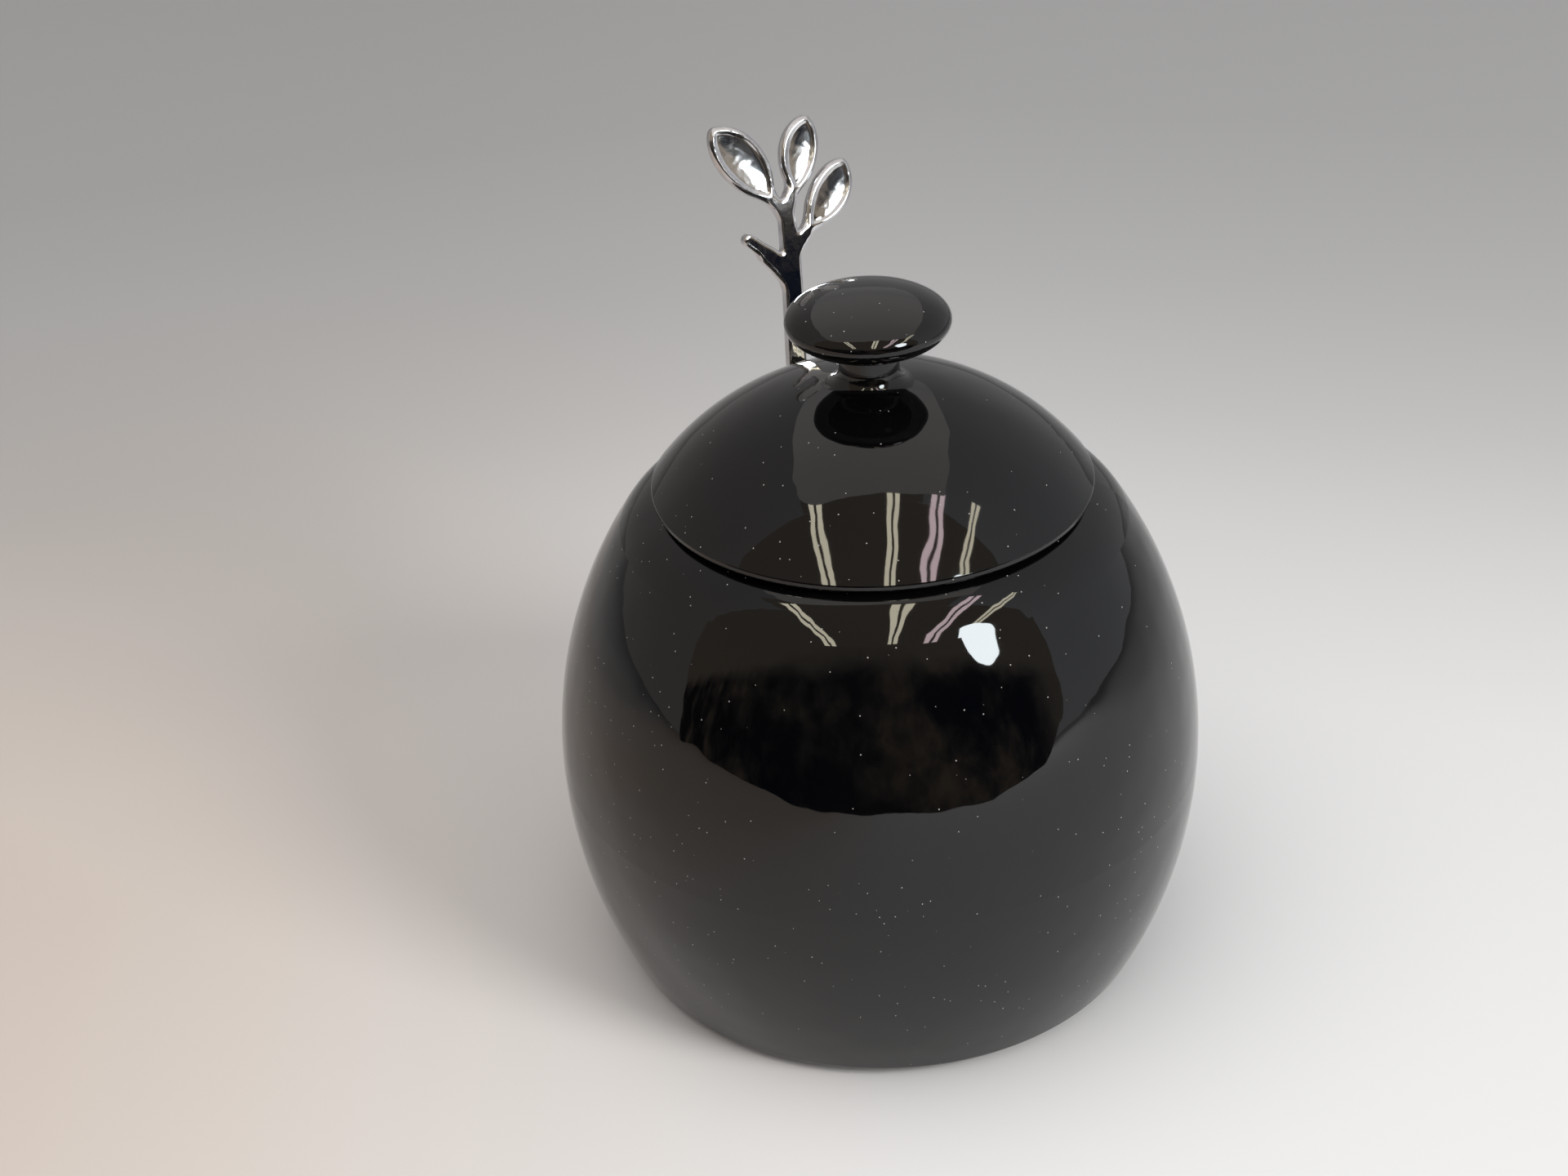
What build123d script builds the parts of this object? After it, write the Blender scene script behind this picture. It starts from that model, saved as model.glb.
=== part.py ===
"""Egg-shaped glazed sugar bowl with a domed lid and a cast twig-and-leaf spoon.

Millimetres, +Z up. The origin is the centre of the foot on the table, and -Y is the front.
The spoon stands at the back, a little to the left, in a notch cut in the lid's rim.
"""

from build123d import *
import math
import os

# Bowl: arcs that share their tangents, from the foot up to the mouth.
BELLY_RADIUS = 49.0
BELLY_HEIGHT = 34.3
SIDE_ARC = 74.8
UPPER_ARC = 69.5
UPPER_ARC_ANGLE = 33.6
SHOULDER_ARC = 12.0
BOWL_WALL = 3.2
THROAT_RADIUS = 29.8
LIP_ROUND = 0.9
FOOT_OUTER = 36.4
FOOT_INNER = 33.0
FOOT_RECESS = 1.2
HEEL_HEIGHT = 1.7
HEEL_ROUND = 1.6
FLOOR_HEIGHT = 5.0
FLOOR_ROUND = 7.0

# Lid: a spherical dome on a thin rim, with a locating ring below it.
LID_GAP = 0.3
LID_RADIUS = 32.3
LID_RIM_THICKNESS = 0.9
LID_RIM_ROUND = 0.35
DOME_RISE = 15.6
LID_WALL = 3.0
RING_OUTER = 27.8
RING_INNER = 25.2
RING_DEPTH = 5.0
RING_ROUND = 0.6
KNOB_RADIUS = 11.9
KNOB_HALF_HEIGHT = 4.4
KNOB_CENTRE_ABOVE_DOME = 9.1
NECK_RADIUS = 4.4
NECK_FLARE = 2.4
NECK_TOP_ROUND = 1.0

# Notch in the lid, and the spoon that stands in it.
NOTCH_AZIMUTH = 113.5
NOTCH_WIDTH = 10.0
NOTCH_INNER_RADIUS = 24.4
STEM_RADIUS_AT_LIP = 27.8
SPOON_LEAN = 18.0
SPOON_LEAN_AZIMUTH = 93.0
STEM_WIDTH = 2.9
STEM_THICKNESS = 2.0
STEM_FOOT_WIDTH = 4.4
STEM_FOOT_LENGTH = 14.0
STEM_EDGE_ROUND = 0.5
CROTCH_ROUND = 0.6
LEAF_RIM = 0.9
LEAF_DISH_DEPTH = 1.2
LEAF_POINT_STEP = 1.53
SCOOP_HALF_LENGTH = 16.0
SCOOP_HALF_WIDTH = 11.0
SCOOP_DEPTH = 7.0
SCOOP_WALL = 1.1
SCOOP_CENTRE = -59.0

# Two points closer than this are the same, and a bend over this angle is no corner.
TOUCH = 1e-4
STRAIGHT = 165.0


def polar(radius, degrees):
    """Point at a radius and an angle from the first axis."""
    angle = math.radians(degrees)
    return Vector(radius * math.cos(angle), radius * math.sin(angle))


def revolved(edges):
    """Solid of revolution about Z from a closed outline of radius against height."""
    return revolve(Plane.XZ * make_face(edges), Axis.Z)


def rims(solid, radius, height=None):
    """Closed edges about Z with the given radius and, if stated, at the given height."""
    found = []
    for edge in solid.edges():
        start = edge @ 0
        same_radius = edge.is_closed and abs(math.hypot(start.X, start.Y) - radius) < 0.01
        if same_radius and (height is None or abs(start.Z - height) < 0.01):
            found.append(edge)
    return sorted(found, key=lambda edge: (edge @ 0).Z)


def level_angle(arc_centre, arc_radius, radius):
    """Angle at which an arc about arc_centre reaches the given distance from the Z axis."""
    return math.degrees(math.acos((radius - arc_centre.X) / arc_radius))


side_centre = Vector(BELLY_RADIUS - SIDE_ARC, BELLY_HEIGHT)
upper_centre = Vector(BELLY_RADIUS - UPPER_ARC, BELLY_HEIGHT)
shoulder_centre = upper_centre + polar(UPPER_ARC - SHOULDER_ARC, UPPER_ARC_ANGLE)
lip_angle = level_angle(shoulder_centre, SHOULDER_ARC, THROAT_RADIUS)
lip_top = shoulder_centre.Y + SHOULDER_ARC * math.sin(math.radians(lip_angle))


def bowl():
    """Hollow body with a rounded lip and a recessed underside inside the foot ring."""
    heel_angle = -math.degrees(math.asin((BELLY_HEIGHT - HEEL_HEIGHT) / SIDE_ARC))
    inner_side = SIDE_ARC - BOWL_WALL
    floor_angle = -math.degrees(math.asin((BELLY_HEIGHT - FLOOR_HEIGHT) / inner_side))
    inner_shoulder = SHOULDER_ARC - BOWL_WALL
    throat_angle = level_angle(shoulder_centre, inner_shoulder, THROAT_RADIUS)

    outer = [
        CenterArc(side_centre, SIDE_ARC, heel_angle, -heel_angle),
        CenterArc(upper_centre, UPPER_ARC, 0, UPPER_ARC_ANGLE),
        CenterArc(shoulder_centre, SHOULDER_ARC, UPPER_ARC_ANGLE, lip_angle - UPPER_ARC_ANGLE),
    ]
    inner = [
        CenterArc(shoulder_centre, inner_shoulder, UPPER_ARC_ANGLE, throat_angle - UPPER_ARC_ANGLE),
        CenterArc(upper_centre, UPPER_ARC - BOWL_WALL, 0, UPPER_ARC_ANGLE),
        CenterArc(side_centre, inner_side, floor_angle, -floor_angle),
    ]
    throat = Line(outer[-1] @ 1, inner[0] @ 1)
    base = Polyline(
        inner[-1] @ 0,
        (0, FLOOR_HEIGHT),
        (0, FOOT_RECESS),
        (FOOT_INNER - FOOT_RECESS, FOOT_RECESS),
        (FOOT_INNER, 0),
        (FOOT_OUTER, 0),
        outer[0] @ 0,
    )
    body = revolved(outer + inner + [throat, base])

    body = fillet(rims(body, (outer[0] @ 0).X, HEEL_HEIGHT), HEEL_ROUND)
    body = fillet(rims(body, (inner[-1] @ 0).X, FLOOR_HEIGHT), FLOOR_ROUND)
    return fillet(rims(body, THROAT_RADIUS, lip_top), LIP_ROUND)


def lid():
    """Dome with a locating ring, a pebble knob on a short neck, and an open notch at the back."""
    underside = lip_top + LID_GAP
    rim_top = underside + LID_RIM_THICKNESS
    dome_arc = (LID_RADIUS**2 + DOME_RISE**2) / (2 * DOME_RISE)
    apex = rim_top + DOME_RISE
    inner_arc = dome_arc - LID_WALL
    inner_apex = apex - LID_WALL
    hollow_edge = inner_apex - inner_arc + math.sqrt(inner_arc**2 - RING_INNER**2)
    ring_bottom = underside - RING_DEPTH
    dome_middle = Vector(LID_RADIUS / 2, apex - dome_arc + math.sqrt(dome_arc**2 - LID_RADIUS**2 / 4))
    inner_middle = Vector(RING_INNER / 2, inner_apex - inner_arc + math.sqrt(inner_arc**2 - RING_INNER**2 / 4))

    dome = revolved(
        [
            ThreePointArc((0, apex), dome_middle, (LID_RADIUS, rim_top)),
            Polyline(
                (LID_RADIUS, rim_top),
                (LID_RADIUS, underside),
                (RING_OUTER, underside),
                (RING_OUTER, ring_bottom),
                (RING_INNER, ring_bottom),
                (RING_INNER, hollow_edge),
            ),
            ThreePointArc((RING_INNER, hollow_edge), inner_middle, (0, inner_apex)),
            Line((0, inner_apex), (0, apex)),
        ]
    )
    dome = fillet(rims(dome, LID_RADIUS), LID_RIM_ROUND)
    dome = fillet(rims(dome, RING_OUTER, ring_bottom) + rims(dome, RING_INNER, ring_bottom), RING_ROUND)

    knob_centre = apex + KNOB_CENTRE_ABOVE_DOME
    half_ellipse = EllipticalCenterArc((0, knob_centre), KNOB_RADIUS, KNOB_HALF_HEIGHT, -90, arc_size=180)
    knob = revolved([half_ellipse, Line(half_ellipse @ 1, half_ellipse @ 0)])
    neck_bottom = inner_apex + LID_WALL / 3
    neck = Pos(0, 0, neck_bottom) * Cylinder(
        NECK_RADIUS, knob_centre - neck_bottom, align=(Align.CENTER, Align.CENTER, Align.MIN)
    )
    body = dome + neck + knob
    body = fillet(rims(body, NECK_RADIUS)[0], NECK_FLARE)
    body = fillet(rims(body, NECK_RADIUS)[-1], NECK_TOP_ROUND)
    return body - notch()


def notch():
    """U-shaped cutter, open outwards, for the spoon's stem."""
    half = NOTCH_WIDTH / 2
    inner_end = NOTCH_INNER_RADIUS + half
    outer_end = LID_RADIUS + NOTCH_WIDTH
    shape = Pos(inner_end, 0) * Circle(half)
    shape += Pos((inner_end + outer_end) / 2, 0) * Rectangle(outer_end - inner_end, NOTCH_WIDTH)
    cutter = extrude(shape, amount=2 * DOME_RISE + RING_DEPTH)
    return Rot(0, 0, NOTCH_AZIMUTH) * Pos(0, 0, lip_top - 2 * RING_DEPTH) * cutter


def spoon_plane():
    """Plane of the spoon's face: x to its side, y up the stem, origin where the stem passes the lip."""
    outwards = polar(1, NOTCH_AZIMUTH)
    lean = math.radians(SPOON_LEAN)
    up_stem = polar(math.sin(lean), SPOON_LEAN_AZIMUTH) + Vector(0, 0, math.cos(lean))
    face = (up_stem * outwards.dot(up_stem) - outwards).normalized()
    origin = outwards * STEM_RADIUS_AT_LIP + Vector(0, 0, lip_top - LIP_ROUND)
    return Plane(origin, x_dir=up_stem.cross(face), z_dir=face)


def taper(start, start_width, end, end_width):
    """Flat bar with round ends whose width changes evenly from one end to the other."""
    start, end = Vector(*start), Vector(*end)
    along = (end - start).normalized()
    across = Vector(-along.Y, along.X)
    narrowing = (start_width - end_width) / 2 / (end - start).length
    left = across * math.sqrt(1 - narrowing**2) + along * narrowing
    right = along * narrowing * 2 - left
    sides = Polyline(
        start + left * start_width / 2,
        end + left * end_width / 2,
        end + right * end_width / 2,
        start + right * start_width / 2,
        close=True,
    )
    return make_face(sides) + Pos(start) * Circle(start_width / 2) + Pos(end) * Circle(end_width / 2)


def leaf_outline(base, tip, left, right):
    """Pointed leaf between two points, from a curve on each side that swells by left and right."""
    base, tip = Vector(*base), Vector(*tip)
    along = tip - base
    across = Vector(along.Y, -along.X).normalized()
    near, far = base + along * LEAF_NEAR_HANDLE, base + along * LEAF_FAR_HANDLE
    right_pull, left_pull = across * right * BEZIER_PULL, across * left * BEZIER_PULL
    right_side = Bezier(base, near + right_pull, far + right_pull, tip)
    left_side = Bezier(tip, far - left_pull, near - left_pull, base)
    return make_face([right_side, left_side])


# Twig above the lid, on the spoon's plane. Bars: start, start width, end, end width.
FORK = (0.2, 30.6)
TWIG_BARS = [
    ((0, 18.0), STEM_WIDTH, FORK, 1.9),
    ((0.2, 22.7), 2.3, (-6.9, 27.0), 1.9),
    ((0.3, 24.8), 2.0, (3.9, 29.0), 1.5),
    (FORK, 1.8, (-3.9, 34.3), 1.5),
    (FORK, 1.8, (1.2, 35.4), 1.5),
]
# Leaves: base point, tip point, swell to the left and to the right. The curve handles sit at
# these shares of the leaf's length, and a curve swells by three quarters of its handles' height.
LEAF_NEAR_HANDLE = 0.28
LEAF_FAR_HANDLE = 0.82
BEZIER_PULL = 4 / 3
LEAVES = [
    ((-2.7, 33.0), (-11.9, 44.0), 3.3, 3.9),
    ((1.0, 33.6), (3.0, 45.2), 3.2, 3.0),
    ((2.8, 27.8), (9.5, 38.4), 2.8, 3.7),
]


def corners(outline):
    """Points of a flat outline where its edges meet at a clear angle."""
    found = []
    for vertex in outline.vertices():
        point = vertex.center()
        directions = []
        for edge in outline.edges():
            if (edge @ 0 - point).length < TOUCH:
                directions.append(edge % 0)
            elif (edge @ 1 - point).length < TOUCH:
                directions.append(edge % 1 * -1)
        if directions[0].get_angle(directions[1]) < STRAIGHT:
            found.append(vertex)
    return found


def leaf_dish(base, tip, left, right):
    """Cutter for the hollow of a leaf, which leaves a raised rim all round."""
    base, tip = Vector(*base), Vector(*tip)
    step = (tip - base).normalized() * LEAF_POINT_STEP
    top = leaf_outline(base + step, tip - step, left - LEAF_RIM, right - LEAF_RIM)
    floor = leaf_outline(base + step * 2, tip - step * 2, left - 2 * LEAF_RIM, right - 2 * LEAF_RIM)
    return loft([Pos(0, 0, STEM_THICKNESS / 2) * top, Pos(0, 0, STEM_THICKNESS / 2 - LEAF_DISH_DEPTH) * floor])


def handle():
    """Flat stem, twig and leaves with rounded edges, and a hollow in each leaf."""
    stem_foot = SCOOP_CENTRE + SCOOP_HALF_LENGTH
    outline = taper((0, stem_foot), STEM_FOOT_WIDTH, (0, stem_foot + STEM_FOOT_LENGTH), STEM_WIDTH)
    outline += taper((0, stem_foot + STEM_FOOT_LENGTH), STEM_WIDTH, TWIG_BARS[0][0], STEM_WIDTH)
    for bar in TWIG_BARS:
        outline += taper(*bar)
    for leaf in LEAVES:
        outline += leaf_outline(*leaf)
    outline = fillet(corners(outline), CROTCH_ROUND)
    solid = extrude(outline, amount=STEM_THICKNESS / 2, both=True)
    faces = solid.faces().sort_by(Axis.Z)
    solid = fillet(faces[0].edges() + faces[-1].edges(), STEM_EDGE_ROUND)
    for leaf in LEAVES:
        solid -= leaf_dish(*leaf)
    return solid


def ellipsoid(half_width, half_length, half_depth):
    """Ellipsoid at the scoop's place, level with the face of the stem."""
    shape = scale(Sphere(1), by=(half_width, half_length, half_depth))
    return Pos(0, SCOOP_CENTRE, STEM_THICKNESS / 2) * shape


def spoon():
    """One casting: twig handle and a scoop, half an egg-shaped shell that is open to the front."""
    outside = ellipsoid(SCOOP_HALF_WIDTH, SCOOP_HALF_LENGTH, SCOOP_DEPTH)
    inside = ellipsoid(
        SCOOP_HALF_WIDTH - SCOOP_WALL,
        SCOOP_HALF_LENGTH - SCOOP_WALL,
        SCOOP_DEPTH - SCOOP_WALL,
    )
    front = Pos(0, SCOOP_CENTRE, STEM_THICKNESS / 2 + SCOOP_DEPTH) * Box(
        3 * SCOOP_HALF_WIDTH, 3 * SCOOP_HALF_LENGTH, 2 * SCOOP_DEPTH
    )
    return spoon_plane() * (handle() + (outside - front) - inside)


os.makedirs("parts", exist_ok=True)
for name, make in {"bowl": bowl, "lid": lid, "spoon": spoon}.items():
    solid = make()
    solid.label = name
    export_step(solid, f"parts/{name}.step")
    print(name, round(solid.volume), solid.bounding_box())
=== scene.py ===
"""Looks of the glazed sugar bowl and its cast twig spoon, in metres, in the frame of the CAD model."""

import math

import bpy
import numpy as np
from mathutils import Matrix, Vector


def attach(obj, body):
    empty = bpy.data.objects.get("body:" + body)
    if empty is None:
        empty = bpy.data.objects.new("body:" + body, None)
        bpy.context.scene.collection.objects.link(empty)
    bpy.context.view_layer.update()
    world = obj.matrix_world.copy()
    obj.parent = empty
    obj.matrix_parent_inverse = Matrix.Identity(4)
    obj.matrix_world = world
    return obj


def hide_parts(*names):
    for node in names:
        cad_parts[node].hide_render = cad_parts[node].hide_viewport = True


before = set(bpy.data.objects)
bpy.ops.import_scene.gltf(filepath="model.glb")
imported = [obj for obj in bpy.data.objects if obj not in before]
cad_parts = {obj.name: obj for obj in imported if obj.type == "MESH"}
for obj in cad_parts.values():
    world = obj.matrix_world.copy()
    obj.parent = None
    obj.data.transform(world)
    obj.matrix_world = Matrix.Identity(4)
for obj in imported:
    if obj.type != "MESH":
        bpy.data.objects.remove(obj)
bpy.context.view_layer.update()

MM = 0.001

# Spoon, in millimetres on its own plane: x to the side, y up the stem, z out of the face.
NOTCH_AZIMUTH = 113.5
STEM_RADIUS_AT_LIP = 27.8
STEM_PLANE_HEIGHT = 76.976
SPOON_LEAN = 18.0
SPOON_LEAN_AZIMUTH = 93.0
HALF_THICKNESS = 1.0
STEM_FOOT_WIDTH = 4.4
STEM_FOOT_LENGTH = 14.0
STEM_FOOT_OVERLAP = 3.0
STEM_WIDTH = 3.0
SCOOP_HALF = np.array([11.0, 16.0, 7.0])
SCOOP_WALL = 1.1
SCOOP_CENTRE = -59.0
SCOOP_LIP_ROUND = 0.5
SCOOP_BLEND = 2.0
SCOOP_BLEND_SPAN = (20.0, 40.0)
LEAST_BLEND = 0.01
STEM_EDGE = 0.36
LEAF_EDGE = 0.88
EDGE_CHANGE = (-1.2, 0.3)
TWIG_BEND_START = 22.0
TWIG_BEND_SLOPE = 0.03
TWIG_BEND_EASE = 2.5
CROTCH_BLEND = 1.1
# Each path is a run of (x, y, width) points.
TWIG_TRUNK = [(0, 18.0, STEM_WIDTH), (-0.1, 26.0, 2.9), (-0.5, 30.8, 2.3), (1.2, 35.6, 1.7)]
TWIG_BRANCHES = [
    [(-0.6, 22.5, 2.2), (-3.9, 24.7, 2.3), (-6.9, 27.0, 1.9)],
    [(-0.9, 20.0, 1.2), (-3.9, 24.3, 2.2)],
    [(0.8, 25.4, 1.9), (4.2, 29.6, 2.0)],
    [(-1.1, 31.0, 1.9), (-4.2, 34.7, 2.0)],
]
# Leaves as base, tip, how far they swell to the left and right, and the rise of their middle.
LEAVES = [
    ((-2.7, 33.0), (-11.9, 44.0), 3.4, 4.0, -0.23),
    ((1.1, 33.8), (3.6, 45.2), 3.4, 2.9, -0.25),
    ((3.1, 28.2), (9.7, 38.2), 2.8, 3.7, -0.24),
]
LEAF_NEAR_HANDLE = 0.28
LEAF_FAR_HANDLE = 0.82
LEAF_ROUND = 1.15
BEZIER_PULL = 4 / 3
LEAF_CURVE_STEPS = 24
GROOVE_START, GROOVE_END = 0.62, 1.25
GROOVE_DEPTH = 0.30
CUSHION_START = 0.85
HAMMER_DEPTH = 0.012
HAMMER_PITCH = 2.3
GRID_STEP = 0.25
SLOPE_PROBE = 0.02
LEAST_SLOPE_SQUARED = 0.25
GRID_LOW = (-12.9, -75.7, -6.7)
GRID_HIGH = (11.5, 47.0, 1.8)


def unit(vector):
    """Vector of length one along the given one."""
    return vector / np.linalg.norm(vector)


def polar(radius, degrees):
    """Level vector of the given length and azimuth."""
    angle = math.radians(degrees)
    return np.array([radius * math.cos(angle), radius * math.sin(angle), 0.0])


def smooth_step(value, low, high):
    """0 below low, 1 above high, and a smooth rise between."""
    t = np.clip((value - low) / (high - low), 0, 1)
    return t * t * (3 - 2 * t)


def smooth_union(a, b, blend):
    """Distance to the union of two shapes, with a fillet of about the given size where they meet."""
    h = np.clip(0.5 + 0.5 * (b - a) / blend, 0, 1)
    return b + (a - b) * h - blend * h * (1 - h)


def bar_distance(x, y, start, start_width, end, end_width):
    """Signed distance to a flat bar with round ends and an even taper."""
    ax, ay = start
    dx, dy = end[0] - ax, end[1] - ay
    t = np.clip(((x - ax) * dx + (y - ay) * dy) / (dx * dx + dy * dy), 0, 1)
    width = start_width + (end_width - start_width) * t
    return np.hypot(x - ax - dx * t, y - ay - dy * t) - width / 2


def path_distance(x, y, path):
    """Signed distance to a run of flat bars joined end to end."""
    distance = np.full(x.shape, np.inf)
    for (ax, ay, width), (bx, by, end_width) in zip(path, path[1:]):
        distance = np.minimum(distance, bar_distance(x, y, (ax, ay), width, (bx, by), end_width))
    return distance


def bezier(points, steps):
    """Points along a cubic curve, without its last one."""
    t = (np.arange(steps) / steps)[:, None]
    a, b, c, d = (np.array(p, float) for p in points)
    return a * (1 - t) ** 3 + 3 * b * t * (1 - t) ** 2 + 3 * c * t * t * (1 - t) + d * t**3


def leaf_sides(base, tip, left, right):
    """Right side of a pointed leaf from base to tip, and its left side back again."""
    base, tip = np.array(base, float), np.array(tip, float)
    forward = unit(tip - base)
    base, tip = base + forward * LEAF_ROUND, tip - forward * LEAF_ROUND
    along = tip - base
    across = np.array([forward[1], -forward[0]])
    near, far = base + along * LEAF_NEAR_HANDLE, base + along * LEAF_FAR_HANDLE
    right_pull = across * (right - LEAF_ROUND) * BEZIER_PULL
    left_pull = across * (left - LEAF_ROUND) * BEZIER_PULL
    right_side = bezier((base, near + right_pull, far + right_pull, tip), LEAF_CURVE_STEPS)
    left_side = bezier((tip, far - left_pull, near - left_pull, base), LEAF_CURVE_STEPS)
    return np.vstack([right_side, tip]), np.vstack([left_side, base])


def leaf_distance(x, y, sides):
    """Signed distance to a leaf with rounded ends, and a smooth depth inside it."""
    inside = np.zeros(x.shape, bool)
    reach = []
    for side in sides:
        nearest = np.full(x.shape, np.inf)
        for (ax, ay), (bx, by) in zip(side, side[1:]):
            dx, dy = bx - ax, by - ay
            t = np.clip(((x - ax) * dx + (y - ay) * dy) / (dx * dx + dy * dy), 0, 1)
            nearest = np.minimum(nearest, np.hypot(x - ax - dx * t, y - ay - dy * t))
            crosses = (ay > y) != (by > y)
            inside ^= crosses & (x < ax + dx * (y - ay) / (dy if dy else 1e-12))
        reach.append(nearest)
    nearest = np.minimum(*reach)
    right, left = (side + LEAF_ROUND for side in reach)
    depth = np.where(inside, right * left / (right + left), 0)
    return np.where(inside, -nearest, nearest) - LEAF_ROUND, depth


LEAF_SIDES = [(leaf_sides(*leaf[:4]), leaf[4]) for leaf in LEAVES]


def hammer_marks(x, y):
    """Soft unevenness of the cast and polished leaves, from two crossing waves that wander."""
    turn = 2 * math.pi / HAMMER_PITCH
    across = np.sin(x * turn + 1.3 * np.sin(y * 1.7))
    along = np.sin(y * turn * 0.8 + 1.1 * np.sin(x * 1.9))
    return HAMMER_DEPTH * across * along


def flat_shape(x, y):
    """Distance to the handle's outline, its edge rounding, and the depth of the leaf grooves."""
    foot = SCOOP_CENTRE + SCOOP_HALF[1] - STEM_FOOT_OVERLAP
    waist = foot + STEM_FOOT_LENGTH
    stem = [(0, foot, STEM_FOOT_WIDTH), (0, waist, STEM_WIDTH)] + TWIG_TRUNK
    distance = path_distance(x, y, stem)
    for branch in TWIG_BRANCHES:
        distance = smooth_union(distance, path_distance(x, y, branch), CROTCH_BLEND)
    hollow = np.zeros(x.shape)
    leaf_depth = np.full(x.shape, -np.inf)
    for sides, crown in LEAF_SIDES:
        leaf, depth = leaf_distance(x, y, sides)
        distance = smooth_union(distance, leaf, CROTCH_BLEND)
        groove = smooth_step(-leaf, GROOVE_START, GROOVE_END)
        cushion = crown * np.maximum(depth - CUSHION_START, 0) + hammer_marks(x, y)
        hollow = np.maximum(hollow, groove * np.maximum(GROOVE_DEPTH - cushion, 0))
        leaf_depth = np.maximum(leaf_depth, -leaf)
    edge = STEM_EDGE + (LEAF_EDGE - STEM_EDGE) * smooth_step(leaf_depth, *EDGE_CHANGE)
    return distance, edge, hollow


def ellipsoid_distance(x, y, z, half):
    """Close to the signed distance to the scoop's ellipsoid of the given half sizes."""
    px, py, pz = x, y - SCOOP_CENTRE, z - HALF_THICKNESS
    scaled = np.sqrt((px / half[0]) ** 2 + (py / half[1]) ** 2 + (pz / half[2]) ** 2)
    slope = np.sqrt((px / half[0] ** 2) ** 2 + (py / half[1] ** 2) ** 2 + (pz / half[2] ** 2) ** 2)
    return scaled * (scaled - 1) / np.maximum(slope, 1e-9)


def bend(y):
    """How far the twig leans backwards from the flat of the stem at height y."""
    beyond = (y - TWIG_BEND_START) / TWIG_BEND_EASE
    return TWIG_BEND_SLOPE * TWIG_BEND_EASE * np.logaddexp(0.0, beyond)


def spoon_distance(x, y, z, flat=None):
    """Signed distance to the cast spoon: handle, leaves and scoop."""
    distance, edge, hollow = flat if flat is not None else flat_shape(x, y)
    side = distance + edge
    level = z + bend(y)
    top = np.maximum(level + hollow, -level) - (HALF_THICKNESS - edge)
    handle = np.hypot(np.maximum(side, 0), np.maximum(top, 0)) + np.minimum(np.maximum(side, top), 0) - edge
    outer = ellipsoid_distance(x, y, z, SCOOP_HALF)
    inner = ellipsoid_distance(x, y, z, SCOOP_HALF - SCOOP_WALL)
    wall = np.maximum(outer, -inner)
    shell = -smooth_union(-wall, HALF_THICKNESS - z, SCOOP_LIP_ROUND)
    blend = SCOOP_BLEND * smooth_step(-y, *SCOOP_BLEND_SPAN) + LEAST_BLEND
    return smooth_union(handle, shell, blend)


def neighbours(axis):
    """Indices of the lower and the upper end of every grid edge along one axis."""
    low = [slice(None)] * 3
    high = [slice(None)] * 3
    low[axis] = slice(0, -1)
    high[axis] = slice(1, None)
    return tuple(low), tuple(high)


def surface_cells(field):
    """Cells of a sampled field that the surface passes, with a starting point in each."""
    inside = field < 0
    total = np.zeros(tuple(n - 1 for n in field.shape) + (3,))
    count = np.zeros(tuple(n - 1 for n in field.shape))
    for axis in range(3):
        low, high = neighbours(axis)
        a, b = field[low], field[high]
        crossed = (a < 0) != (b < 0)
        share = np.where(crossed, a / np.where(crossed, a - b, 1), 0)
        others = [k for k in range(3) if k != axis]
        for i in (0, 1):
            for j in (0, 1):
                part = [slice(None)] * 3
                part[others[0]] = slice(i, i + total.shape[others[0]])
                part[others[1]] = slice(j, j + total.shape[others[1]])
                hit = crossed[tuple(part)]
                count += hit
                total[..., axis] += share[tuple(part)]
                total[..., others[0]] += hit * i
                total[..., others[1]] += hit * j
    cells = np.argwhere(count > 0)
    middle = total[count > 0] / count[count > 0][:, None]
    number = np.full(count.shape, -1)
    number[count > 0] = np.arange(len(cells))
    return inside, cells + middle, number


def surface_quads(inside, number):
    """One quad for each grid edge that the surface crosses, turned to face outwards."""
    quads = []
    for axis in range(3):
        b, c = (axis + 1) % 3, (axis + 2) % 3
        low, high = neighbours(axis)
        change = inside[low].astype(int) - inside[high].astype(int)
        for sign in (1, -1):
            at = np.argwhere(change == sign)
            at = at[(at[:, b] > 0) & (at[:, c] > 0)]
            corners = []
            for i, j in ((1, 1), (0, 1), (0, 0), (1, 0)):
                place = at.copy()
                place[:, b] -= i
                place[:, c] -= j
                corners.append(number[tuple(place.T)])
            quad = np.stack(corners, -1)
            quads.append(quad if sign == 1 else quad[:, ::-1])
    return np.concatenate(quads)


def settle(points, steps=4):
    """Moves points onto the surface along the field's slope."""
    probes = SLOPE_PROBE * np.eye(3)
    for _ in range(steps):
        value = spoon_distance(*points.T)
        rises = [spoon_distance(*(points + p).T) - spoon_distance(*(points - p).T) for p in probes]
        slope = np.stack(rises, -1) / (2 * SLOPE_PROBE)
        size = np.maximum((slope**2).sum(1), LEAST_SLOPE_SQUARED)
        move = -(value / size)[:, None] * slope
        points = points + np.clip(move, -GRID_STEP / 2, GRID_STEP / 2)
    return points


def spoon_points_to_frame(points):
    """From the spoon's plane in millimetres to the frame in metres."""
    outwards = polar(1, NOTCH_AZIMUTH)
    lean = math.radians(SPOON_LEAN)
    up_stem = polar(math.sin(lean), SPOON_LEAN_AZIMUTH) + np.array([0, 0, math.cos(lean)])
    face = unit(up_stem * outwards.dot(up_stem) - outwards)
    side = np.cross(up_stem, face)
    origin = outwards * STEM_RADIUS_AT_LIP + np.array([0, 0, STEM_PLANE_HEIGHT])
    return (origin + points @ np.array([side, up_stem, face])) * MM


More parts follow.
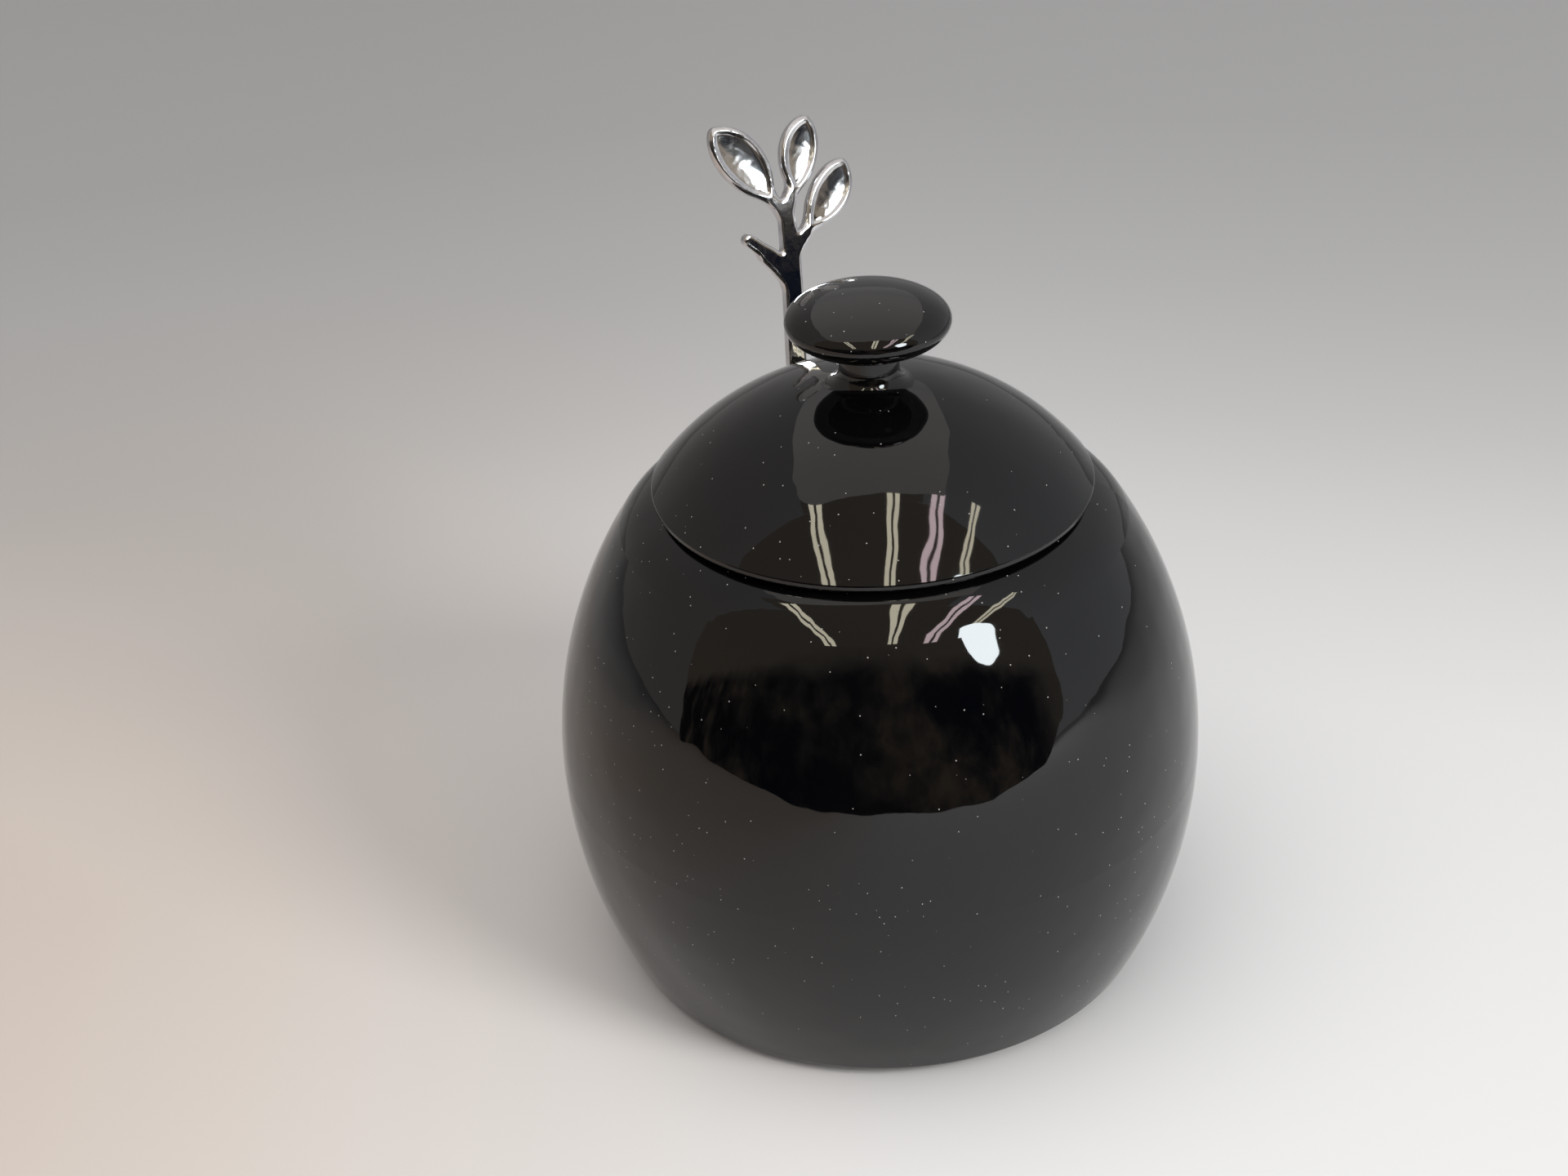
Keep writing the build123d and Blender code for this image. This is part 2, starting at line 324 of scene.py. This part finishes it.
def new_object(name, vertices, faces, smooth=True):
    """Mesh object from lists of points and faces."""
    mesh = bpy.data.meshes.new(name)
    mesh.from_pydata([tuple(v) for v in vertices], [], [tuple(int(i) for i in f) for f in faces])
    mesh.validate()
    mesh.update()
    if smooth:
        mesh.shade_smooth()
    obj = bpy.data.objects.new(name, mesh)
    bpy.context.scene.collection.objects.link(obj)
    return obj


def cast_spoon():
    """The whole spoon as one closed mesh."""
    axes = [np.arange(lo, hi, GRID_STEP) for lo, hi in zip(GRID_LOW, GRID_HIGH)]
    x, y = np.meshgrid(axes[0], axes[1], indexing="ij")
    flat = tuple(a[..., None] for a in flat_shape(x, y))
    field = spoon_distance(x[..., None], y[..., None], axes[2][None, None, :], flat)
    inside, places, number = surface_cells(field)
    points = np.array(GRID_LOW) + places * GRID_STEP
    return new_object("spoon_casting", spoon_points_to_frame(settle(points)), surface_quads(inside, number))


# Materials


def new_material(name):
    """New node material with its nodes, links and shader."""
    material = bpy.data.materials.new(name)
    material.use_nodes = True
    nodes = material.node_tree.nodes
    return material, nodes, material.node_tree.links, nodes["Principled BSDF"]


def add(nodes, kind, **values):
    """Node of the given kind with its sockets and settings filled in."""
    node = nodes.new(kind)
    for key, value in values.items():
        if key in node.inputs:
            node.inputs[key].default_value = value
        else:
            setattr(node, key, value)
    return node


def ramp(nodes, links, source, stops):
    """Colour ramp fed by a socket, with (place, grey or colour) stops."""
    node = nodes.new("ShaderNodeValToRGB")
    elements = node.color_ramp.elements
    while len(elements) < len(stops):
        elements.new(0.5)
    for element, (place, tone) in zip(elements, stops):
        element.position = place
        element.color = (tone, tone, tone, 1) if isinstance(tone, (int, float)) else (*tone, 1)
    links.new(source, node.inputs["Fac"])
    return node


GLAZE_THIN, GLAZE_THICK = (0.0010, 0.0011, 0.0016), (0.0022, 0.0020, 0.0020)
GLAZE_IOR = 1.5
GLAZE_ROUGHNESS = (0.018, 0.055)
DUST_COLOUR = (0.34, 0.33, 0.31)
DUST_ROUGHNESS = 0.8
CLAY_DARK, CLAY_COLOUR = (0.3, 0.25, 0.2), (0.42, 0.36, 0.3)
CLAY_ROUGHNESS = 0.85
CLAY_GRAIN_SCALE = 900
BARE_FOOT_HEIGHT = 0.35 * MM
SPECKS_PER_METRE = 780
SPECK_RADIUS = 0.055
DRIFT_SCALE = 45
HAZE_SCALE = 38
PEEL_SCALE = 260
WAVE_SCALE = 55


def noise(nodes, links, place, scale, detail, roughness=0.5):
    """Noise over the object's own place, as a value from 0 to 1."""
    texture = add(nodes, "ShaderNodeTexNoise", Scale=scale, Detail=detail, Roughness=roughness)
    links.new(place, texture.inputs["Vector"])
    return texture.outputs["Fac"]


def mix(nodes, links, kind, factor, first, second):
    """Blend of two sockets, or of a socket and a plain value."""
    node = add(nodes, "ShaderNodeMix", data_type=kind)
    links.new(factor, node.inputs["Factor"])
    links.new(first, node.inputs["A"])
    if isinstance(second, bpy.types.NodeSocket):
        links.new(second, node.inputs["B"])
    else:
        node.inputs["B"].default_value = second
    return node.outputs["Result"]


def dust_specks(nodes, links, place):
    """Tiny dots, dense in some drifts and nearly missing between them."""
    cells = add(nodes, "ShaderNodeTexVoronoi", Scale=SPECKS_PER_METRE)
    links.new(place, cells.inputs["Vector"])
    near = ramp(nodes, links, cells.outputs["Distance"], [(SPECK_RADIUS, 1.0), (SPECK_RADIUS * 1.7, 0.0)])
    chosen = add(nodes, "ShaderNodeSeparateColor")
    links.new(cells.outputs["Color"], chosen.inputs["Color"])
    drift = noise(nodes, links, place, DRIFT_SCALE, 2.0)
    thick = ramp(nodes, links, drift, [(0.40, 0.08), (0.62, 0.65)])
    some = add(nodes, "ShaderNodeMath", operation="LESS_THAN")
    links.new(chosen.outputs["Red"], some.inputs[0])
    links.new(thick.outputs["Color"], some.inputs[1])
    dust = add(nodes, "ShaderNodeMath", operation="MULTIPLY")
    links.new(near.outputs["Color"], dust.inputs[0])
    links.new(some.outputs["Value"], dust.inputs[1])
    return dust.outputs["Value"]


def glaze_bumps(nodes, links, place):
    """Slow waves with a fine orange peel on them."""
    broad = add(nodes, "ShaderNodeBump", Strength=0.24, Distance=0.0006)
    links.new(noise(nodes, links, place, WAVE_SCALE * 2, 1.0), broad.inputs["Height"])
    fine = add(nodes, "ShaderNodeBump", Strength=0.1, Distance=0.00008)
    links.new(noise(nodes, links, place, PEEL_SCALE, 2.0), fine.inputs["Height"])
    links.new(broad.outputs["Normal"], fine.inputs["Normal"])
    return fine.outputs["Normal"]


def bare_foot(nodes, links, place, foot_height, colour, roughness):
    """Leaves the clay bare below a height, and gives the new colour and roughness."""
    height = add(nodes, "ShaderNodeSeparateXYZ")
    links.new(place, height.inputs["Vector"])
    bare = add(nodes, "ShaderNodeMath", operation="LESS_THAN")
    links.new(height.outputs["Z"], bare.inputs[0])
    bare.inputs[1].default_value = foot_height
    grain = noise(nodes, links, place, CLAY_GRAIN_SCALE, 4.0)
    clay = ramp(nodes, links, grain, [(0.3, CLAY_DARK), (0.75, CLAY_COLOUR)])
    colour = mix(nodes, links, "RGBA", bare.outputs["Value"], colour, clay.outputs["Color"])
    roughness = mix(nodes, links, "FLOAT", bare.outputs["Value"], roughness, CLAY_ROUGHNESS)
    return colour, roughness


def glaze(name, foot_height=None):
    """Deep black gloss glaze: slow waves, fine orange peel, dust specks and a bare clay foot."""
    material, nodes, links, shader = new_material(name)
    place = add(nodes, "ShaderNodeTexCoord").outputs["Object"]
    dust = dust_specks(nodes, links, place)
    depth = noise(nodes, links, place, WAVE_SCALE, 2.0)
    tone = ramp(nodes, links, depth, [(0.3, GLAZE_THIN), (0.75, GLAZE_THICK)])
    colour = mix(nodes, links, "RGBA", dust, tone.outputs["Color"], (*DUST_COLOUR, 1))
    haze = noise(nodes, links, place, HAZE_SCALE, 5.0, 0.7)
    polish = ramp(nodes, links, haze, list(zip((0.35, 0.8), GLAZE_ROUGHNESS)))
    roughness = mix(nodes, links, "FLOAT", dust, polish.outputs["Color"], DUST_ROUGHNESS)
    if foot_height is not None:
        colour, roughness = bare_foot(nodes, links, place, foot_height, colour, roughness)
    links.new(colour, shader.inputs["Base Color"])
    links.new(roughness, shader.inputs["Roughness"])
    links.new(glaze_bumps(nodes, links, place), shader.inputs["Normal"])
    shader.inputs["IOR"].default_value = GLAZE_IOR
    return material


CHROME_BRIGHT = (0.68, 0.68, 0.70)
CHROME_DULL = (0.52, 0.51, 0.51)
CHROME_ROUGHNESS = (0.035, 0.09)
CLOUD_SCALE = 420
DENT_SCALE = 700
# The leaves, above these heights in the frame, are a little more satin than the stem.
SATIN_HEIGHTS = (0.1045, 0.1085)
SATIN_ROUGHNESS = 0.07


def chrome():
    """Polished chrome on a hand-finished casting, with duller patches and faint dents."""
    material, nodes, links, shader = new_material("spoon_chrome")
    place = add(nodes, "ShaderNodeTexCoord").outputs["Object"]
    clouds = noise(nodes, links, place, CLOUD_SCALE, 4.0, 0.65)
    tone = ramp(nodes, links, clouds, [(0.35, CHROME_BRIGHT), (0.72, CHROME_DULL)])
    links.new(tone.outputs["Color"], shader.inputs["Base Color"])
    polish = ramp(nodes, links, clouds, list(zip((0.35, 0.8), CHROME_ROUGHNESS)))
    split = add(nodes, "ShaderNodeSeparateXYZ")
    links.new(place, split.inputs["Vector"])
    satin = add(nodes, "ShaderNodeMapRange", interpolation_type="SMOOTHSTEP")
    satin.inputs["From Min"].default_value, satin.inputs["From Max"].default_value = SATIN_HEIGHTS
    satin.inputs["To Max"].default_value = SATIN_ROUGHNESS
    links.new(split.outputs["Z"], satin.inputs["Value"])
    finish = add(nodes, "ShaderNodeMath", operation="ADD")
    links.new(polish.outputs["Color"], finish.inputs[0])
    links.new(satin.outputs["Result"], finish.inputs[1])
    links.new(finish.outputs["Value"], shader.inputs["Roughness"])
    shader.inputs["Metallic"].default_value = 1.0
    bump = add(nodes, "ShaderNodeBump", Strength=0.2, Distance=0.00008)
    links.new(noise(nodes, links, place, DENT_SCALE, 2.0), bump.inputs["Height"])
    links.new(bump.outputs["Normal"], shader.inputs["Normal"])
    return material


# Painted shade: the floor's colour greys towards the back and towards both sides, in place of the fall-off
# of the light.
FLOOR_START, FLOOR_END = -0.08, 0.40
FLOOR_PAINTED_SHADE_TONES = [(0.0, 1.0), (0.33, 0.90), (0.46, 0.77), (0.58, 0.63), (0.74, 0.53), (0.95, 0.48)]
FLOOR_SIDE_PAINTED_SHADE = 0.3
PAPER_COOL = (0.80, 0.80, 0.80)
# Painted warm bounce light: the paper is tinted warmer on the left, less so towards the back.
PAPER_PAINTED_WARM_LIGHT = (0.64, 0.55, 0.48)
PAPER_ROUGHNESS = 0.9
PAINTED_WARM_LIGHT_SIDE = (0.05, -0.19)
PAINTED_WARM_LIGHT_NEARNESS = [(0.25, 1.0), (0.8, 0.15)]


def paper():
    """Matt white paper with painted shade that greys it towards the back and to both sides, and painted
    warm bounce light that makes it a little warmer on the left.
    """
    material, nodes, links, shader = new_material("paper_floor_painted_light")
    place = add(nodes, "ShaderNodeTexCoord").outputs["Object"]
    split = add(nodes, "ShaderNodeSeparateXYZ")
    links.new(place, split.inputs["Vector"])
    # Painted shade: the floor darkens with distance to either side as well as towards the back.
    sideways = add(nodes, "ShaderNodeMath", operation="ABSOLUTE")
    links.new(split.outputs["X"], sideways.inputs[0])
    fall = add(nodes, "ShaderNodeMath", operation="MULTIPLY_ADD")
    links.new(sideways.outputs["Value"], fall.inputs[0])
    fall.inputs[1].default_value = FLOOR_SIDE_PAINTED_SHADE
    links.new(split.outputs["Y"], fall.inputs[2])
    back = add(nodes, "ShaderNodeMapRange")
    back.inputs["From Min"].default_value = FLOOR_START
    back.inputs["From Max"].default_value = FLOOR_END
    links.new(fall.outputs["Value"], back.inputs["Value"])
    shade = ramp(nodes, links, back.outputs["Result"], FLOOR_PAINTED_SHADE_TONES)
    shade.color_ramp.interpolation = "B_SPLINE"
    # Painted warm bounce light on the left side, fading towards the back.
    left = add(nodes, "ShaderNodeMapRange", interpolation_type="SMOOTHSTEP")
    left.inputs["From Min"].default_value, left.inputs["From Max"].default_value = PAINTED_WARM_LIGHT_SIDE
    links.new(split.outputs["X"], left.inputs["Value"])
    painted_warm_mix = add(nodes, "ShaderNodeMix", data_type="RGBA")
    painted_warm_mix.inputs["A"].default_value = (*PAPER_COOL, 1)
    painted_warm_mix.inputs["B"].default_value = (*PAPER_PAINTED_WARM_LIGHT, 1)
    painted_warm_share = add(nodes, "ShaderNodeMath", operation="MULTIPLY")
    near = ramp(nodes, links, back.outputs["Result"], PAINTED_WARM_LIGHT_NEARNESS)
    links.new(left.outputs["Result"], painted_warm_share.inputs[0])
    links.new(near.outputs["Color"], painted_warm_share.inputs[1])
    links.new(painted_warm_share.outputs["Value"], painted_warm_mix.inputs["Factor"])
    grey = add(nodes, "ShaderNodeMix", data_type="RGBA", blend_type="MULTIPLY")
    grey.inputs["Factor"].default_value = 1.0
    links.new(painted_warm_mix.outputs["Result"], grey.inputs["A"])
    links.new(shade.outputs["Color"], grey.inputs["B"])
    links.new(grey.outputs["Result"], shader.inputs["Base Color"])
    shader.inputs["Roughness"].default_value = PAPER_ROUGHNESS
    shader.inputs["Specular IOR Level"].default_value = 0.1
    return material


def glow(name, colour, strength):
    """Plain light-giving material for the studio's panels."""
    material = bpy.data.materials.new(name)
    material.use_nodes = True
    nodes, links = material.node_tree.nodes, material.node_tree.links
    nodes.remove(nodes["Principled BSDF"])
    emission = add(nodes, "ShaderNodeEmission", Color=(*colour, 1), Strength=strength)
    links.new(emission.outputs["Emission"], nodes["Material Output"].inputs["Surface"])
    return material


# Studio

FLOOR_HALF = 3.0
OPENING_DISTANCE = 0.38
OPENING_LEFT, OPENING_RIGHT = -1.50, 1.08
OPENING_BOTTOM, OPENING_TOP = 0.004, 3.2
ROOM_BLACK, ROOM_BROWN, ROOM_LIT = (0.004, 0.006, 0.012), (0.07, 0.06, 0.05), (0.26, 0.2, 0.14)
ROOM_WALL = (0.34, 0.29, 0.23)
ROOM_WALL_START, ROOM_WALL_END = 0.235, 0.31
ROOM_EDGE_WAVE = 0.06
ROOM_CLUTTER_SCALE = 6.5
ROOM_CORNER_POWER = 0.35
# The wall's colour also fills this stretch of the panel's right side, to this share.
ROOM_RIGHT = (0.5, 0.8)
ROOM_RIGHT_SHARE = 0.8
OPENING_POINTS = 96
CEILING_HEIGHT = 2.0
CEILING_LIGHT_X = (-0.74, 0.24, 0.86, 1.5)
CEILING_LIGHT_NEAR, CEILING_LIGHT_FAR = -0.32, -2.05
CEILING_LIGHT_COLOURS = ((1, 0.93, 0.72), (1, 0.93, 0.72), (1, 0.78, 0.82), (1, 0.93, 0.72))
CEILING_BACK = 0.35
TUBE_BACK = 0.05
TUBE_SHIFTS = (-0.055, 0.055)
TUBE_HALF_WIDTH = 0.036
TUBE_STRENGTH = 9.0
ROOF_HEIGHT = 0.16
ROOF_HALF_WIDTH = 0.046
ROOF_FRONT, ROOF_BACK = -0.0278, 0.173
ROOF_TONES = [(0.024, (0.92, 0.88, 0.84)), (0.11, (0.52, 0.50, 0.50))]
LAMP_PLACE = (0.287, -0.292, 0.324)
LAMP_AIM = (0.013, -0.035, 0.0725)
LAMP_RADIUS = 0.061
LAMP_STRETCH = 1.5
LAMP_COLOUR, LAMP_STRENGTH = (0.90, 0.97, 1.0), 22.5
# Soft lights as name, place, size, power and colour.
SOFT_LIGHTS = [
    ("key", (0.90, -0.72, 0.78), 0.55, 11.4, (1.0, 0.99, 0.97)),
    ("fill", (-0.3, -0.2, 1.3), 1.4, 6.6, (1.0, 1.0, 1.0)),
]
SOFT_LIGHT_AIM = (0, 0, 0.04)
SKY_LEFT, SKY_RIGHT = (0.72, 0.66, 0.62), (1.02, 1.04, 1.08)
SKY_DEPTH = [(0.2, 1.0), (0.9, 0.58)]
SKY_STRENGTH = 0.72


def reflection_only(obj):
    """A studio panel that shows only in reflections."""
    obj.visible_camera = False
    obj.visible_diffuse = False
    obj.visible_shadow = False
    obj.visible_transmission = False
    return obj


def floor():
    """Wide level paper floor."""
    h = FLOOR_HALF
    corners = [(-h, -h, 0), (h, -h, 0), (h, h, 0), (-h, h, 0)]
    obj = new_object("floor", corners, [(0, 1, 2, 3)], smooth=False)
    obj.data.materials.append(paper())


def opening_outline():
    """Points round the panel, a rounded rectangle with a slightly uneven edge."""
    width, height = OPENING_RIGHT - OPENING_LEFT, OPENING_TOP - OPENING_BOTTOM
    points = []
    for i in range(OPENING_POINTS):
        angle = 2 * math.pi * i / OPENING_POINTS
        c, s = math.cos(angle), math.sin(angle)
        x = math.copysign(abs(c) ** ROOM_CORNER_POWER, c) * (1 + 0.02 * math.sin(9 * angle))
        z = math.copysign(abs(s) ** ROOM_CORNER_POWER, s) * (1 + 0.015 * math.sin(13 * angle + 1))
        across, up = OPENING_LEFT + width * (1 + x) / 2, OPENING_BOTTOM + height * (1 + z) / 2
        points.append((across, -OPENING_DISTANCE, up))
    return points


def room_tone(nodes, links):
    """Black room with brown clutter, and its wall higher up and at the right."""
    place = add(nodes, "ShaderNodeTexCoord").outputs["Object"]
    clutter = noise(nodes, links, place, ROOM_CLUTTER_SCALE, 4.0, 0.6)
    tone = ramp(nodes, links, clutter, [(0.45, ROOM_BLACK), (0.55, ROOM_BROWN), (0.70, ROOM_LIT)])
    split = add(nodes, "ShaderNodeSeparateXYZ")
    links.new(place, split.inputs["Vector"])
    edge = add(nodes, "ShaderNodeMath", operation="MULTIPLY_ADD")
    links.new(clutter, edge.inputs[0])
    edge.inputs[1].default_value = ROOM_EDGE_WAVE
    links.new(split.outputs["Z"], edge.inputs[2])
    upper = add(nodes, "ShaderNodeMapRange", interpolation_type="SMOOTHSTEP")
    upper.inputs["From Min"].default_value = ROOM_WALL_START + ROOM_EDGE_WAVE / 2
    upper.inputs["From Max"].default_value = ROOM_WALL_END + ROOM_EDGE_WAVE / 2
    links.new(edge.outputs["Value"], upper.inputs["Value"])
    right = add(nodes, "ShaderNodeMapRange", interpolation_type="SMOOTHSTEP")
    right.inputs["From Min"].default_value, right.inputs["From Max"].default_value = ROOM_RIGHT
    right.inputs["To Max"].default_value = ROOM_RIGHT_SHARE
    links.new(split.outputs["X"], right.inputs["Value"])
    wall = (*ROOM_WALL, 1)
    lit = mix(nodes, links, "RGBA", right.outputs["Result"], tone.outputs["Color"], wall)
    return mix(nodes, links, "RGBA", upper.outputs["Result"], lit, wall)


def dark_opening():
    """The unlit room in front of the table, an uneven dark panel that only reflections see."""
    obj = new_object("dark_opening", opening_outline(), [tuple(range(OPENING_POINTS))], smooth=False)
    material = glow("dark_room", (0, 0, 0), 1.0)
    nodes, links = material.node_tree.nodes, material.node_tree.links
    links.new(room_tone(nodes, links), nodes["Emission"].inputs["Color"])
    obj.data.materials.append(material)
    reflection_only(obj)


def roof_panel():
    """Brighter cloth close over the bowl, reflected in the crown of the lid."""
    middle, reach = (ROOF_FRONT + ROOF_BACK) / 2, (ROOF_BACK - ROOF_FRONT) / 2
    points = []
    for i in range(64):
        angle = 2 * math.pi * i / 64
        c, s = math.cos(angle), math.sin(angle)
        x = math.copysign(abs(c) ** 0.3, c) * (1 + 0.03 * math.sin(5 * angle) + 0.02 * math.sin(11 * angle))
        y = math.copysign(abs(s) ** 0.3, s) * (1 + 0.02 * math.sin(6 * angle))
        x *= 0.9 - 0.22 * y
        points.append((ROOF_HALF_WIDTH * x, middle + reach * y, ROOF_HEIGHT))
    obj = new_object("roof_panel", points, [tuple(range(64))], smooth=False)
    material = glow("roof_cloth", (0, 0, 0), 1.0)
    nodes, links = material.node_tree.nodes, material.node_tree.links
    split = add(nodes, "ShaderNodeSeparateXYZ")
    links.new(add(nodes, "ShaderNodeTexCoord").outputs["Object"], split.inputs["Vector"])
    tone = ramp(nodes, links, split.outputs["Y"], ROOF_TONES)
    links.new(tone.outputs["Color"], nodes["Emission"].inputs["Color"])
    obj.data.materials.append(material)
    reflection_only(obj)


def room_ceiling():
    """Brown ceiling over the opening, seen in the shoulder of the bowl."""
    sides, ends = (OPENING_LEFT, OPENING_RIGHT), (-OPENING_DISTANCE, CEILING_BACK)
    corners = [(x, y, OPENING_TOP) for x in sides for y in ends]
    obj = new_object("room_ceiling", corners, [(0, 1, 3, 2)], smooth=False)
    obj.data.materials.append(glow("brown_ceiling", ROOM_WALL, 1.0))
    reflection_only(obj)


def on_opening(x, y):
    """Where a point of the room's ceiling is seen on the panel from the bowl."""
    share = OPENING_DISTANCE / abs(y) * 0.99
    return (x * share, -OPENING_DISTANCE * 0.99, CEILING_HEIGHT * share)


def ceiling_lights():
    """Rows of twin tubes in the room, seen only as streaks in the glaze."""
    for row, (x, colour) in enumerate(zip(CEILING_LIGHT_X, CEILING_LIGHT_COLOURS)):
        material = glow(f"tube_light_{row}", colour, TUBE_STRENGTH)
        for tube, shift in enumerate(TUBE_SHIFTS):
            edges = (x + shift - TUBE_HALF_WIDTH, x + shift + TUBE_HALF_WIDTH)
            ahead, above = (CEILING_LIGHT_NEAR, CEILING_LIGHT_FAR), (TUBE_BACK, CEILING_LIGHT_NEAR)
            corners = [on_opening(edge, y) for edge in edges for y in ahead]
            corners += [(edge, y, CEILING_HEIGHT) for edge in edges for y in above]
            obj = new_object(f"tube_{row}_{tube}", corners, [(0, 1, 3, 2), (4, 5, 7, 6)], smooth=False)
            obj.data.materials.append(material)
            reflection_only(obj)


def front_lamp():
    """Oval lamp at the front right that gives the round highlight."""
    centre = Vector(LAMP_PLACE)
    turn = (Vector(LAMP_AIM) - centre).to_track_quat("-Z", "Y")
    points = []
    for i in range(48):
        angle = 2 * math.pi * i / 48
        wobble = 1 + 0.025 * math.sin(5 * angle) + 0.02 * math.sin(7 * angle)
        local = Vector((math.cos(angle), math.sin(angle) * LAMP_STRETCH, 0)) * LAMP_RADIUS * wobble
        points.append(centre + turn @ local)
    obj = new_object("front_lamp", points, [tuple(range(48))], smooth=False)
    obj.data.materials.append(glow("lamp_light", LAMP_COLOUR, LAMP_STRENGTH))
    reflection_only(obj)


def soft_light(name, place, size, power, colour):
    """Large area light aimed at the bowl, which leaves no highlight of its own."""
    data = bpy.data.lights.new(name, "AREA")
    data.shape = "DISK"
    data.size = size
    data.energy = power
    data.color = colour
    obj = bpy.data.objects.new(name, data)
    obj.location = place
    towards = Vector(SOFT_LIGHT_AIM) - Vector(place)
    obj.rotation_euler = towards.to_track_quat("-Z", "Y").to_euler()
    obj.visible_glossy = False
    obj.visible_camera = False
    bpy.context.scene.collection.objects.link(obj)


def sky():
    """Even pale surround, a little warmer on the left and cooler on the right."""
    world = bpy.data.worlds.new("soft_surround")
    bpy.context.scene.world = world
    world.use_nodes = True
    nodes, links = world.node_tree.nodes, world.node_tree.links
    background = nodes["Background"]
    place = add(nodes, "ShaderNodeTexCoord").outputs["Generated"]
    split = add(nodes, "ShaderNodeSeparateXYZ")
    links.new(place, split.inputs["Vector"])
    across = add(nodes, "ShaderNodeMapRange")
    across.inputs["From Min"].default_value = -1.0
    links.new(split.outputs["X"], across.inputs["Value"])
    tone = ramp(nodes, links, across.outputs["Result"], [(0.0, SKY_LEFT), (1.0, SKY_RIGHT)])
    along = add(nodes, "ShaderNodeMapRange")
    along.inputs["From Min"].default_value = -1.0
    links.new(split.outputs["Y"], along.inputs["Value"])
    depth = ramp(nodes, links, along.outputs["Result"], SKY_DEPTH)
    both = add(nodes, "ShaderNodeMix", data_type="RGBA", blend_type="MULTIPLY")
    both.inputs["Factor"].default_value = 1.0
    links.new(tone.outputs["Color"], both.inputs["A"])
    links.new(depth.outputs["Color"], both.inputs["B"])
    links.new(both.outputs["Result"], background.inputs["Color"])
    background.inputs["Strength"].default_value = SKY_STRENGTH


# Camera: 1920 by 1440 picture, with a focal length of 3000 of its pixels.

CAMERA_PLACE = (0.0, -0.316571, 0.247577)
CAMERA_RIGHT = (0.99894159, 0.01804805, -0.04230803)
CAMERA_UP = (0.02719851, 0.50999683, 0.85974617)
FOCAL_PIXELS = 3000.0
PICTURE_WIDTH = 1920.0
SENSOR_MM = 36.0


def camera():
    """Camera in front of the bowl, a little above it."""
    data = bpy.data.cameras.new("camera")
    data.sensor_width = SENSOR_MM
    data.lens = SENSOR_MM * FOCAL_PIXELS / PICTURE_WIDTH
    data.clip_start = 0.01
    data.dof.use_dof = False
    obj = bpy.data.objects.new("camera", data)
    right, up = Vector(CAMERA_RIGHT), Vector(CAMERA_UP)
    turn = Matrix((right, up, right.cross(up))).transposed()
    obj.matrix_world = Matrix.Translation(CAMERA_PLACE) @ turn.to_4x4()
    bpy.context.scene.collection.objects.link(obj)
    bpy.context.scene.camera = obj


def set_material(obj, material):
    """Gives every slot of a CAD node the same material."""
    if not obj.material_slots:
        obj.data.materials.append(material)
    for slot in obj.material_slots:
        slot.material = material


bpy.context.scene.view_settings.view_transform = "Standard"
camera()
floor()
sky()
dark_opening()
roof_panel()
room_ceiling()
ceiling_lights()
front_lamp()
for light in SOFT_LIGHTS:
    soft_light(*light)

set_material(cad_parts["bowl"], glaze("bowl_glaze", foot_height=BARE_FOOT_HEIGHT))
set_material(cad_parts["lid"], glaze("lid_glaze"))

spoon = cast_spoon()
spoon.data.materials.append(chrome())
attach(spoon, "spoon")
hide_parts("spoon")
